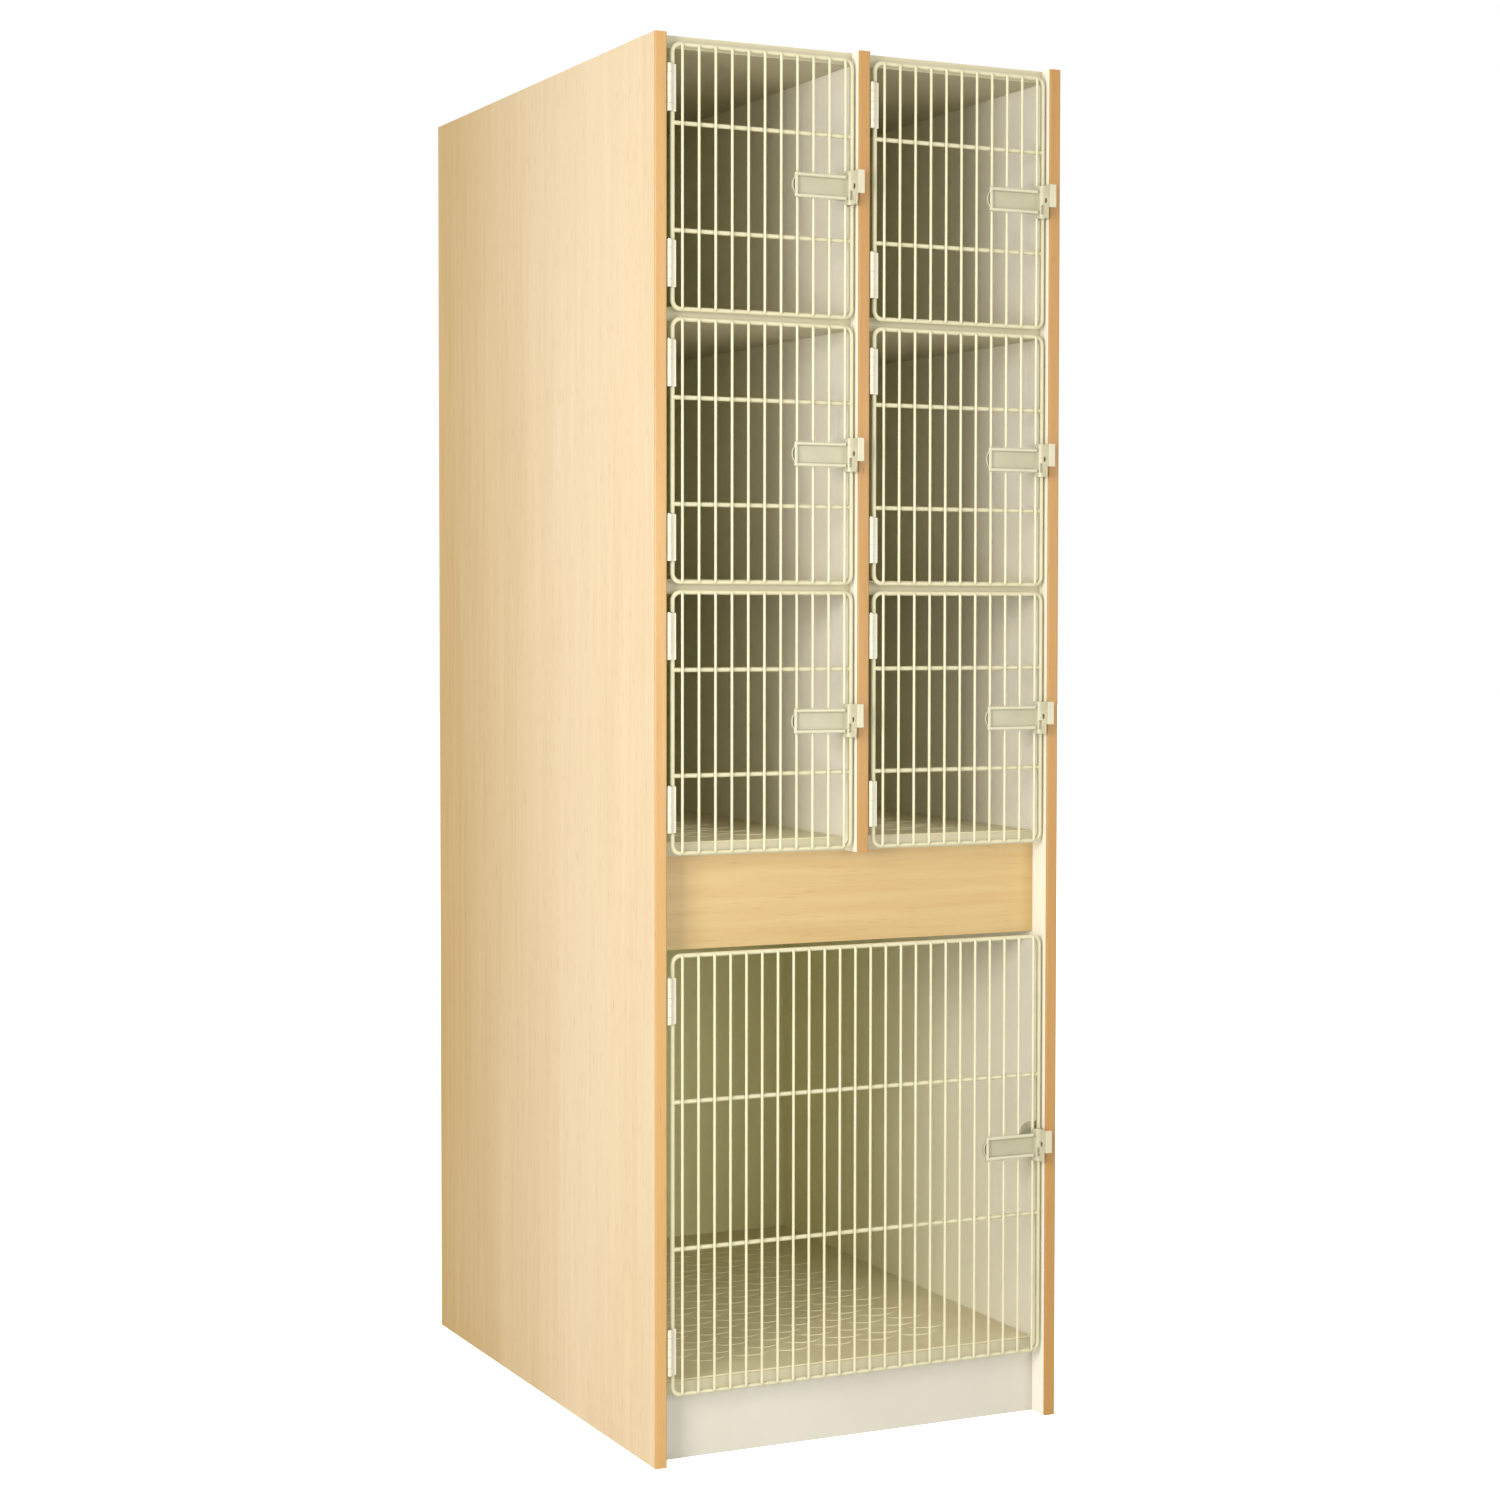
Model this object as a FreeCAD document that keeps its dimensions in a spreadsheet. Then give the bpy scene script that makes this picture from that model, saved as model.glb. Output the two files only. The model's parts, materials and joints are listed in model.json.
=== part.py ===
import FreeCAD, Part
import os

# Wire-door storage cabinet: a laminate carcass with six small compartments in two columns
# above one large compartment.  Each compartment has a welded wire door on two five-knuckle
# hinges and a lever latch that turns on the door's own right-hand rod.
# The origin is at the middle of the overall box, on the floor.  The doors face -Y.

# Every driving dimension, in millimetres (angles in degrees).
DIMENSIONS = {
    # carcass
    "cabinet_width": 686.0,
    "cabinet_depth": 1016.0,
    "cabinet_height": 2134.0,
    "panel": 19.05,
    "back_panel": 12.7,
    "edge_band": 3.0,
    "edge_band_round": 2.5,
    "top_recess": 26.0,
    "shelf_recess": 28.0,
    "deck_recess": 46.0,
    "base_recess": 40.0,
    "middle_deck_top": 932.0,
    "bottom_deck_top": 117.0,
    "filler_bottom": 772.0,
    "liner": 2.5,
    "liner_gap": 1.0,
    "liner_setback": 4.0,
    "dowel_radius": 4.0,
    "dowel_in_upright": 9.0,
    "dowel_in_shelf": 25.0,
    "dowel_inset": 90.0,
    # door layout
    "top_rod_height": 2119.5,
    "small_door_height": 389.5,
    "door_gap": 15.2,
    "large_door_bottom": 105.5,
    "large_door_height": 661.3,
    "rod_depth": 12.0,
    "left_rod_inset": 13.15,
    "right_rod_inset": 7.0,
    # welded grille
    "rod_radius": 3.5,
    "cross_rod_radius": 3.4,
    "wire_radius": 2.1,
    "wire_weld": 0.25,
    "corner_radius": 13.0,
    "wire_tip_radius": 4.0,
    "first_wire": 14.0,
    "last_wire": 13.2,
    "small_cross_rod": 79.0,
    "large_cross_rod": 111.0,
    # hinge
    "hinge_length": 69.4,
    "knuckle_gap": 0.4,
    "barrel_radius": 4.2,
    "pin_radius": 2.0,
    "pin_clearance": 0.05,
    "pin_head_radius": 3.2,
    "pin_head": 1.4,
    "leaf": 1.6,
    "hinge_axis_inset": 5.0,
    "frame_leaf_width": 27.0,
    "door_leaf_width": 12.0,
    "small_hinge_offset": 129.0,
    "large_hinge_offset": 264.0,
    "screw_radius": 2.0,
    "screw_head_radius": 3.8,
    "screw_length": 14.0,
    "screw_setback": 17.0,
    "screw_offset": 24.0,
    # latch
    "latch_projection": 25.4,
    "sheet": 1.5,
    "handle_height": 37.5,
    "handle_left": 100.5,
    "handle_right": 15.2,
    "handle_depth": 6.1,
    "handle_rim": 5.6,
    "handle_end_rim": 4.2,
    "handle_round": 2.2,
    "web_back": 7.9,
    "lip_radius": 18.25,
    "lip_reach": 105.0,
    "lip_depth": 5.6,
    "lip_wall": 1.2,
    "bend_radius": 9.5,
    "tab_face": 6.25,
    "tab_height": 51.0,
    "flange_width": 10.4,
    "flange_round": 1.2,
    "ear_cutaway": 29.0,
    "ear_step": 15.7,
    "lock_hole_radius": 4.5,
    "lock_hole_forward": 22.0,
    "lock_hole_height": 2.0,
    "slot_width": 5.0,
    "slot_forward": 12.0,
    "slot_height": 14.5,
    "slot_bottom": 18.5,
    "ring_radius": 5.6,
    "ring_length": 8.0,
    "ring_inner_end": 17.0,
    "ring_clearance": 0.05,
    "tongue_left": 30.0,
    "tongue_right": 2.4,
    "tongue_nose": 3.8,
    "nose_height": 22.0,
    "tongue_height": 34.0,
    "tongue_round": 6.0,
    "stem_left": 8.0,
    "lobe_radius": 20.0,
    "lobe_top": 35.0,
    "keeper_base": 1.0,
    "keeper_lip": 2.0,
    "keeper_lip_depth": 3.0,
    "keeper_depth": 22.0,
    "keeper_front": 14.0,
    "keeper_height": 24.0,
}

KNUCKLE_SHARES = (0.165, 0.243, 0.17, 0.243, 0.179)
SMALL_WIRES = 11
LARGE_WIRES = 24
ROWS = ("upper", "middle", "lower")
COLUMNS = ("left", "right")

doc = FreeCAD.newDocument("wire_door_cabinet")
sheet = doc.addObject("Spreadsheet::Sheet", "Dims")
for row_number, (alias, value) in enumerate(DIMENSIONS.items(), start=1):
    sheet.set("A%d" % row_number, alias.replace("_", " "))
    sheet.set("B%d" % row_number, str(value))
    sheet.setAlias("B%d" % row_number, alias)
doc.recompute()


class Sizes:
    """The sheet's cells as plain numbers."""

    def __getattr__(self, alias):
        return float(sheet.get(alias))


size = Sizes()

LEFT = "-Dims.cabinet_width / 2"
FRONT = "-(Dims.cabinet_depth - Dims.latch_projection) / 2"
LEFT_X = -size.cabinet_width / 2
FRONT_Y = -(size.cabinet_depth - size.latch_projection) / 2
INNER = "(Dims.cabinet_width - 2 * Dims.panel)"
BAY = "((Dims.cabinet_width - 3 * Dims.panel) / 2)"

parts = []


def bind(thing, **expressions):
    """Bind properties of an object to the sheet; a_b stands for the path a.b."""
    for prop, expression in expressions.items():
        thing.setExpression(prop.replace("__", "."), expression)


def place(thing, x=0.0, y=0.0, z=0.0, axis=None, angle=0.0):
    turn = FreeCAD.Rotation(FreeCAD.Vector(*axis), angle) if axis else FreeCAD.Rotation()
    thing.Placement = FreeCAD.Placement(FreeCAD.Vector(x, y, z), turn)
    return thing


def keep(thing, label):
    """Make an object one of the sub-parts; its label names its file."""
    thing.Label = label
    parts.append(thing)
    return thing


def box(name, length, width, height, x="0", y="0", z="0"):
    thing = doc.addObject("Part::Box", name)
    bind(thing, Length=length, Width=width, Height=height)
    bind(thing, Placement__Base__x=x, Placement__Base__y=y, Placement__Base__z=z)
    return thing


def cylinder(name, radius, height):
    thing = doc.addObject("Part::Cylinder", name)
    bind(thing, Radius=radius, Height=height)
    return thing


def elbow(name, bend_radius, tube_radius):
    """A quarter torus about its own Z axis, from +X round to +Y."""
    thing = doc.addObject("Part::Torus", name)
    bind(thing, Radius1=bend_radius, Radius2=tube_radius)
    thing.Angle3 = 90.0
    return thing


def fuse(name, shapes):
    thing = doc.addObject("Part::MultiFuse", name)
    thing.Shapes = shapes
    return thing


def cut(name, base, tool):
    thing = doc.addObject("Part::Cut", name)
    thing.Base = base
    thing.Tool = tool
    return thing


def group(name, shapes):
    thing = doc.addObject("Part::Compound", name)
    thing.Links = shapes
    return thing


def copy_of(master, name, x, y, z):
    """One placed instance of a master shape."""
    return place(group(name, [master]), x, y, z)


# ---------------------------------------------------------------- doors: where they stand

def door_list():
    """Name, bay, rod heights and size of each door, in millimetres."""
    doors = []
    bay_width = (size.cabinet_width - 3 * size.panel) / 2
    for row, row_name in enumerate(ROWS):
        top = size.top_rod_height - row * (size.small_door_height + size.door_gap)
        for column, column_name in enumerate(COLUMNS):
            bay_left = LEFT_X + size.panel + column * (bay_width + size.panel)
            doors.append({
                "name": "%s_%s" % (row_name, column_name),
                "bay_left": bay_left,
                "bay_right": bay_left + bay_width,
                "middle": top - size.small_door_height / 2,
                "hinge_offset": size.small_hinge_offset,
                "large": False,
            })
    doors.append({
        "name": "bottom",
        "bay_left": LEFT_X + size.panel,
        "bay_right": -LEFT_X - size.panel,
        "middle": size.large_door_bottom + size.large_door_height / 2,
        "hinge_offset": size.large_hinge_offset,
        "large": True,
    })
    return doors


doors = door_list()
ROD_Y = FRONT_Y + size.rod_depth
HINGE_Y = ROD_Y - size.rod_radius - size.barrel_radius

# ---------------------------------------------------------------- five-knuckle hinge


def knuckle_spans():
    """Bottom and top of the five knuckles, centred on the hinge."""
    spans = []
    low = -size.hinge_length / 2
    for share in KNUCKLE_SHARES:
        high = low + share * size.hinge_length
        spans.append((low, high))
        low = high
    return spans


def leaf(name, plate, knuckles, bore_radius, notch_length, notch_width):
    """A hinge leaf: plate and barrel, cleared where the other leaf's knuckles turn."""
    barrel = cylinder(name + "_barrel", "Dims.barrel_radius", "Dims.hinge_length")
    place(barrel, z=-size.hinge_length / 2)
    blank = fuse(name + "_blank", [plate, barrel])
    cutters = []
    for index, (low, high) in enumerate(knuckle_spans()):
        if index in knuckles:
            continue
        notch = box("%s_notch_%d" % (name, index), notch_length, notch_width,
                    "%f * Dims.hinge_length + Dims.knuckle_gap" % KNUCKLE_SHARES[index],
                    "-Dims.hinge_axis_inset - 1", "-Dims.barrel_radius - 1",
                    "%f - Dims.knuckle_gap / 2" % low)
        cutters.append(notch)
    bore = cylinder(name + "_bore", bore_radius, "Dims.hinge_length + 2")
    cutters.append(place(bore, z=-size.hinge_length / 2 - 1))
    return cut(name, blank, fuse(name + "_cutters", cutters))


def frame_leaf_master():
    plate = box("frame_leaf_plate", "Dims.leaf", "Dims.frame_leaf_width", "Dims.hinge_length",
                "-Dims.hinge_axis_inset", "0", "-Dims.hinge_length / 2")
    blank = leaf("frame_leaf_blank", plate, (0, 2, 4), "Dims.pin_radius",
                 "2 * Dims.hinge_axis_inset + 2", "2 * Dims.barrel_radius + 3.5")
    return cut("frame_leaf", blank, hinge_screws_master)


def door_leaf_master():
    plate = box("door_leaf_plate", "Dims.door_leaf_width", "Dims.leaf", "Dims.hinge_length",
                "0", "Dims.barrel_radius - Dims.leaf", "-Dims.hinge_length / 2")
    return leaf("door_leaf", plate, (1, 3), "Dims.pin_radius + Dims.pin_clearance",
                "2 * Dims.hinge_axis_inset + 1.5", "2 * Dims.barrel_radius + 2")


def pin_master():
    shaft = cylinder("pin_shaft", "Dims.pin_radius", "Dims.hinge_length")
    place(shaft, z=-size.hinge_length / 2)
    head = cylinder("pin_head_disc", "Dims.pin_head_radius", "Dims.pin_head")
    place(head, z=size.hinge_length / 2)
    return fuse("pin", [shaft, head])


def screw_master(name, height):
    """A countersunk screw along -X, its head flush with the leaf's face."""
    face = -size.hinge_axis_inset + size.leaf
    shank = cylinder(name + "_shank", "Dims.screw_radius", "Dims.screw_length")
    place(shank, face, size.screw_setback, height, (0, 1, 0), -90)
    head = doc.addObject("Part::Cone", name + "_head")
    bind(head, Radius1="Dims.screw_head_radius", Radius2="Dims.screw_radius", Height="Dims.leaf")
    place(head, face, size.screw_setback, height, (0, 1, 0), -90)
    return fuse(name, [shank, head])


hinge_screws_master = group("hinge_screw_pair", [
    screw_master("upper_screw", size.screw_offset),
    screw_master("lower_screw", -size.screw_offset),
])
frame_leaf = frame_leaf_master()
door_leaf = door_leaf_master()
pin = pin_master()


def hinge_places(door):
    """The two hinge centres of a door."""
    x = door["bay_left"] + size.hinge_axis_inset
    return [(x, HINGE_Y, door["middle"] + side * door["hinge_offset"]) for side in (1, -1)]


def hinge_group(name, master, chosen_doors):
    copies = []
    for door in chosen_doors:
        for number, spot in enumerate(hinge_places(door)):
            copies.append(copy_of(master, "%s_%s_%d" % (name, door["name"], number), *spot))
    return group(name, copies)


frame_leaves = keep(hinge_group("hinge_frame_leaves", frame_leaf, doors), "hinge_frame_leaves")
hinge_pins = keep(hinge_group("hinge_pins", pin, doors), "hinge_pins")
hinge_screws = keep(hinge_group("hinge_screws", hinge_screws_master, doors), "hinge_screws")

# ---------------------------------------------------------------- dowels between the panels


def dowel_places():
    """Middle of the joint face, side of the shelf (+1 shelf to the right) and height."""
    places = []
    divider_left = LEFT_X + size.panel + (size.cabinet_width - 3 * size.panel) / 2
    divider_right = divider_left + size.panel
    ends = [(LEFT_X + size.panel, 1), (-LEFT_X - size.panel, -1)]
    inner_ends = [(divider_left, -1), (divider_right, 1)]
    full = (size.cabinet_height - size.panel / 2, size.middle_deck_top - size.panel / 2,
            size.bottom_deck_top - size.panel / 2)
    for height in full:
        places += [(x, side, height) for x, side in ends]
    for height in shelf_heights():
        places += [(x, side, height) for x, side in ends + inner_ends]
    return places


def shelf_heights():
    """Mid heights of the two levels of small shelves."""
    heights = []
    for row in (1, 2):
        pitch = size.small_door_height + size.door_gap
        heights.append(size.top_rod_height - row * pitch + size.door_gap / 2)
    return heights


def dowels():
    made = []
    length = size.dowel_in_upright + size.dowel_in_shelf
    near = FRONT_Y + size.dowel_inset
    far = FRONT_Y + size.cabinet_depth - size.dowel_inset
    for x, side, height in dowel_places():
        start = x - side * size.dowel_in_upright
        for y in (near, (near + far) / 2, far):
            dowel = cylinder("dowel_%d" % len(made), "Dims.dowel_radius",
                             "Dims.dowel_in_upright + Dims.dowel_in_shelf")
            place(dowel, start if side > 0 else start - length, y, height, (0, 1, 0), 90)
            made.append(dowel)
    return group("panel_dowels", made)


panel_dowels = keep(dowels(), "panel_dowels")

# ---------------------------------------------------------------- carcass panels


def upright_height():
    return "Dims.cabinet_height"


def side_panel(name, x):
    blank = box(name + "_blank", "Dims.panel", "Dims.cabinet_depth - Dims.edge_band",
                upright_height(), x, FRONT + " + Dims.edge_band")
    bores = group(name + "_bores", [panel_dowels, hinge_screws])
    return keep(cut(name, blank, bores), name)


def edge_band(name, x, bottom):
    """A strip with its two front corners rounded, on the front edge of an upright."""
    strip = box(name + "_strip", "Dims.panel", "Dims.edge_band",
                "Dims.cabinet_height - (" + bottom + ")", x, FRONT, bottom)
    doc.recompute()
    rounded = doc.addObject("Part::Fillet", name)
    rounded.Base = strip
    edges = []
    for number, edge in enumerate(strip.Shape.Edges, start=1):
        upright = abs(edge.Vertexes[0].Z - edge.Vertexes[1].Z) > size.panel
        at_front = edge.CenterOfMass.y < FRONT_Y + size.edge_band / 2
        if upright and at_front:
            edges.append((number, size.edge_band_round, size.edge_band_round))
    rounded.Edges = edges
    return keep(rounded, name)


RIGHT_INNER = "Dims.cabinet_width / 2 - Dims.panel"
DIVIDER_X = "-Dims.panel / 2"

side_panel("left_side_panel", LEFT)
side_panel("right_side_panel", RIGHT_INNER)
edge_band("left_edge_band", LEFT, "0")
edge_band("right_edge_band", RIGHT_INNER, "0")
edge_band("divider_edge_band", DIVIDER_X, "Dims.middle_deck_top - Dims.panel")


def shelf(name, length, x, recess, top):
    """A horizontal panel between two uprights, in front of the back panel."""
    blank = box(name + "_blank", length,
                "Dims.cabinet_depth - Dims.back_panel - " + recess,
                "Dims.panel", x, FRONT + " + " + recess, top + " - Dims.panel")
    return keep(cut(name, blank, panel_dowels), name)


def liner(name, length, x, recess, top):
    """A thin floor sheet, a little short of the uprights and of the panel's front edge."""
    return box(name, length + " - 2 * Dims.liner_gap",
               "Dims.cabinet_depth - Dims.back_panel - Dims.liner_gap - Dims.liner_setback - "
               + recess, "Dims.liner", x + " + Dims.liner_gap",
               FRONT + " + Dims.liner_setback + " + recess, top)


top_blank = box("top_panel_blank", INNER, "Dims.cabinet_depth - Dims.top_recess", "Dims.panel",
                LEFT + " + Dims.panel", FRONT + " + Dims.top_recess",
                "Dims.cabinet_height - Dims.panel")
keep(cut("top_panel", top_blank, panel_dowels), "top_panel")
keep(box("back_panel", INNER, "Dims.back_panel", "Dims.cabinet_height - Dims.panel",
         LEFT + " + Dims.panel", FRONT + " + Dims.cabinet_depth - Dims.back_panel"),
     "back_panel")
shelf("middle_deck", INNER, LEFT + " + Dims.panel", "Dims.deck_recess", "Dims.middle_deck_top")
shelf("bottom_deck", INNER, LEFT + " + Dims.panel", "Dims.base_recess", "Dims.bottom_deck_top")
keep(box("filler_panel", INNER, "Dims.panel",
         "Dims.middle_deck_top - Dims.panel - Dims.filler_bottom", LEFT + " + Dims.panel",
         FRONT + " + Dims.deck_recess", "Dims.filler_bottom"), "filler_panel")
keep(box("toe_kick", INNER, "Dims.panel", "Dims.bottom_deck_top - Dims.panel",
         LEFT + " + Dims.panel", FRONT + " + Dims.base_recess"), "toe_kick")

BAY_STARTS = (LEFT + " + Dims.panel", "Dims.panel / 2")
upper_liners = []
for level, shelf_height in zip(("upper", "middle"), shelf_heights()):
    for side_name, bay_start in zip(COLUMNS, BAY_STARTS):
        shelf_top = "%f + Dims.panel / 2" % shelf_height
        shelf("%s_shelf_%s" % (level, side_name), BAY, bay_start, "Dims.shelf_recess", shelf_top)
        upper_liners.append(liner("liner_%s_%s" % (level, side_name), BAY, bay_start,
                                  "Dims.shelf_recess", shelf_top))
keep(group("shelf_liners", upper_liners), "shelf_liners")
for side_name, bay_start in zip(COLUMNS, BAY_STARTS):
    name = "deck_liner_" + side_name
    keep(liner(name, BAY, bay_start, "Dims.deck_recess", "Dims.middle_deck_top"), name)
keep(liner("bottom_liner", INNER, LEFT + " + Dims.panel", "Dims.base_recess",
           "Dims.bottom_deck_top"), "bottom_liner")


def divider():
    """The centre upright: full depth between the decks, with a nose in front of both."""
    body = box("divider_body", "Dims.panel",
               "Dims.cabinet_depth - Dims.edge_band - Dims.back_panel",
               "Dims.cabinet_height - Dims.middle_deck_top + Dims.panel", DIVIDER_X,
               FRONT + " + Dims.edge_band", "Dims.middle_deck_top - Dims.panel")
    over = box("divider_top_notch", "Dims.panel", "Dims.cabinet_depth", "Dims.panel", DIVIDER_X,
               FRONT + " + Dims.top_recess", "Dims.cabinet_height - Dims.panel")
    under = box("divider_foot_notch", "Dims.panel", "Dims.cabinet_depth", "Dims.panel",
                DIVIDER_X, FRONT + " + Dims.deck_recess", "Dims.middle_deck_top - Dims.panel")
    bores = group("divider_cutters", [over, under, panel_dowels, hinge_screws])
    return keep(cut("center_divider", body, bores), "center_divider")


divider()

# ---------------------------------------------------------------- welded wire grille


def grille_master(name, width, height, cross_rod, wire_count):
    """Rounded rod frame, two cross rods and upright wires, the left rod's middle at zero."""
    half = height / 2
    bend = size.corner_radius
    solids = []

    def rod(label, length, x, z, flat, radius="Dims.rod_radius"):
        thing = cylinder("%s_%s" % (name, label), radius, "%f" % length)
        turn = {"axis": (0, 1, 0), "angle": 90} if flat else {}
        solids.append(place(thing, x, 0.0, z, **turn))

    def corner(label, x, z, angle):
        thing = elbow("%s_%s" % (name, label), "Dims.corner_radius", "Dims.rod_radius")
        turn = FreeCAD.Rotation(FreeCAD.Vector(0, 1, 0), angle)
        lay = FreeCAD.Rotation(FreeCAD.Vector(1, 0, 0), 90)
        thing.Placement = FreeCAD.Placement(FreeCAD.Vector(x, 0, z), turn.multiply(lay))
        solids.append(thing)

    rod("left_rod", height - 2 * bend, 0, bend - half, False)
    rod("right_rod", height - 2 * bend, width, bend - half, False)
    rod("top_rod", width - 2 * bend, bend, half, True)
    rod("bottom_rod", width - 2 * bend, bend, -half, True)
    corner("top_right_bend", width - bend, half - bend, 0)
    corner("bottom_right_bend", width - bend, bend - half, 90)
    corner("bottom_left_bend", bend, bend - half, 180)
    corner("top_left_bend", bend, half - bend, 270)
    rod("upper_cross_rod", width, 0, cross_rod, True, "Dims.cross_rod_radius")
    rod("lower_cross_rod", width, 0, -cross_rod, True, "Dims.cross_rod_radius")

    grille = fuse(name + "_rods", solids)

    wire_y = -(size.rod_radius + size.wire_radius - size.wire_weld)
    tip = size.wire_tip_radius
    pitch = (width - size.first_wire - size.last_wire) / (wire_count - 1)
    for number in range(wire_count):
        x = size.first_wire + number * pitch
        wire = cylinder("%s_wire_%d" % (name, number), "Dims.wire_radius",
                        "%f - 2 * Dims.wire_tip_radius" % height)
        pieces = [place(wire, x, wire_y, tip - half)]
        for label, side in (("top", 1), ("bottom", -1)):
            thing = elbow("%s_wire_%d_%s" % (name, number, label), "Dims.wire_tip_radius",
                          "Dims.wire_radius")
            spot = FreeCAD.Vector(x, wire_y + tip, side * (half - tip))
            upright = FreeCAD.Rotation(FreeCAD.Vector(0, 1, 0), -90)
            swing = FreeCAD.Rotation(FreeCAD.Vector(1, 0, 0), 90 if side > 0 else 180)
            thing.Placement = FreeCAD.Placement(spot, swing.multiply(upright))
            pieces.append(thing)
        bent_wire = fuse("%s_bent_wire_%d" % (name, number), pieces)
        grille = fuse("%s_with_wire_%d" % (name, number), [grille, bent_wire])
    return grille


def door_width(door):
    return door["bay_right"] - door["bay_left"] - size.left_rod_inset - size.right_rod_inset


small_grille = grille_master("small_grille", door_width(doors[0]), size.small_door_height,
                             size.small_cross_rod, SMALL_WIRES)
large_grille = grille_master("large_grille", door_width(doors[-1]), size.large_door_height,
                             size.large_cross_rod, LARGE_WIRES)

for door in doors:
    master = large_grille if door["large"] else small_grille
    label = door["name"] + "_door_grille"
    x = door["bay_left"] + size.left_rod_inset
    keep(copy_of(master, label, x, ROD_Y, door["middle"]), label)
    label = door["name"] + "_door_hinge_leaves"
    leaves = [copy_of(door_leaf, "%s_%d" % (label, number), *spot)
              for number, spot in enumerate(hinge_places(door))]
    keep(group(label, leaves), label)

# ---------------------------------------------------------------- latch lever


def round_edges(name, base, radius, chosen):
    """A fillet on the edges the test chooses."""
    doc.recompute()
    rounded = doc.addObject("Part::Fillet", name)
    rounded.Base = base
    rounded.Edges = [(number, radius, radius)
                     for number, edge in enumerate(base.Shape.Edges, start=1) if chosen(edge)]
    return rounded


def dish(name):
    """The pressed handle: a shallow tray with rounded rims above, below and at the left end."""
    outer = box("dish_outer", "Dims.handle_left - Dims.handle_right", "Dims.handle_depth",
                "Dims.handle_height", "-Dims.handle_left", "-Dims.web_back - Dims.handle_depth",
                "-Dims.handle_height / 2")
    inner = box("dish_inner", "Dims.handle_left - Dims.handle_right", "Dims.handle_depth",
                "Dims.handle_height - 2 * Dims.handle_rim",
                "-Dims.handle_left + Dims.handle_end_rim",
                "-Dims.web_back - Dims.handle_depth - Dims.sheet",
                "-Dims.handle_height / 2 + Dims.handle_rim")

    def long_edge(edge):
        middle = edge.CenterOfMass
        lengthwise = abs(edge.Vertexes[0].X - edge.Vertexes[1].X) > size.handle_height
        left_upright = middle.x < -size.handle_left + 0.01 and abs(middle.z) < 0.01
        return lengthwise or left_upright

    soft_outer = round_edges("dish_outer_round", outer, size.handle_round, long_edge)
    tray = cut(name + "_sharp", soft_outer, inner)
    front = -size.web_back - size.handle_depth
    inner_top = size.handle_height / 2 - size.handle_rim

    def inner_lip(edge):
        middle = edge.CenterOfMass
        at_front = abs(middle.y - front) < 0.01
        lengthwise = edge.BoundBox.XLength > size.handle_height
        return at_front and lengthwise and abs(abs(middle.z) - inner_top) < 0.01

    return round_edges(name, tray, size.handle_round, inner_lip)


def finger_lip(name):
    """The curved lip past the tray's left end, with a low rim."""
    centre = size.lip_radius - size.lip_reach
    disc = cylinder("lip_disc", "Dims.lip_radius", "Dims.lip_depth")
    place(disc, centre, -size.web_back, 0, (1, 0, 0), 90)
    hollow = cylinder("lip_hollow", "Dims.lip_radius - Dims.lip_wall", "Dims.lip_depth")
    place(hollow, centre, -size.web_back - size.sheet, 0, (1, 0, 0), 90)
    keep_out = box("lip_trim", "4 * Dims.lip_radius", "4 * Dims.lip_depth",
                   "3 * Dims.lip_radius", "-Dims.handle_left + Dims.handle_round",
                   "-Dims.web_back - 2 * Dims.lip_depth", "-1.5 * Dims.lip_radius")
    return cut(name, disc, fuse("lip_cutters", [hollow, keep_out]))


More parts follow.
